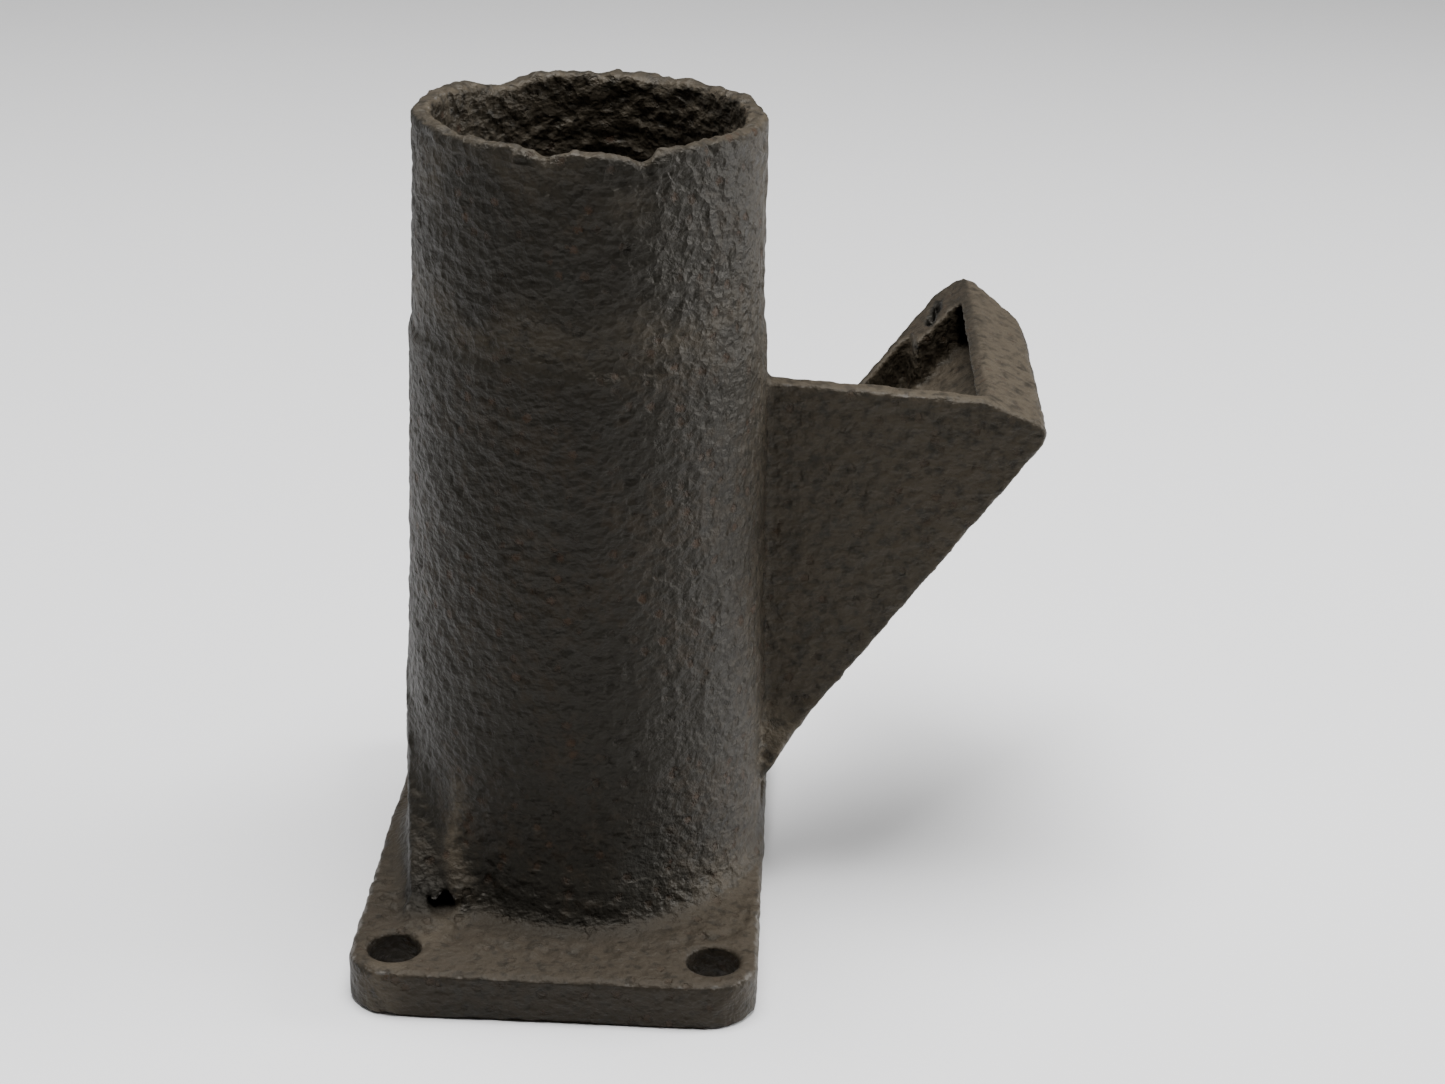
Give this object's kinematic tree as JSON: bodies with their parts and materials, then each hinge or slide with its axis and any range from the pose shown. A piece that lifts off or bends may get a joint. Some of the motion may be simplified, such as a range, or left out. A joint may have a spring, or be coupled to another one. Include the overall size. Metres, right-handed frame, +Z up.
{
  "type": "flanged pipe stub with side arm",
  "caption": "Cast-iron pipe stub on a rectangular bolt-down flange, with a hollow triangular side arm that ends in a sloping flat pad.",
  "frame": {"origin": "middle of the casting's overall footprint, on the underside of the flange", "axes": "+Z up along the pipe, +X towards the side arm's end, +Y to the back, where the arm's pad runs"},
  "size_m": [0.1496, 0.1668, 0.1876],
  "materials": {
    "cast_iron_barrel": "as-cast sand texture, dark oxide with thin rust staining",
    "cast_iron_flange": "as-cast sand texture, brown rust film, bright chips along the edges",
    "cast_iron_arm": "as-cast sand texture, brown rust film, bright chips along the edges"
  },
  "bodies": {
    "root": {"base_flange": "cast_iron_flange", "flared_foot": "cast_iron_barrel", "main_barrel": "cast_iron_barrel", "upper_spigot": "cast_iron_barrel", "arm_web": "cast_iron_arm", "arm_floor": "cast_iron_arm", "arm_end_pad": "cast_iron_arm", "arm_rear_wall": "cast_iron_arm", "arm_corner_block": "cast_iron_arm", "arm_toe": "cast_iron_arm"}
  },
  "joints": []
}
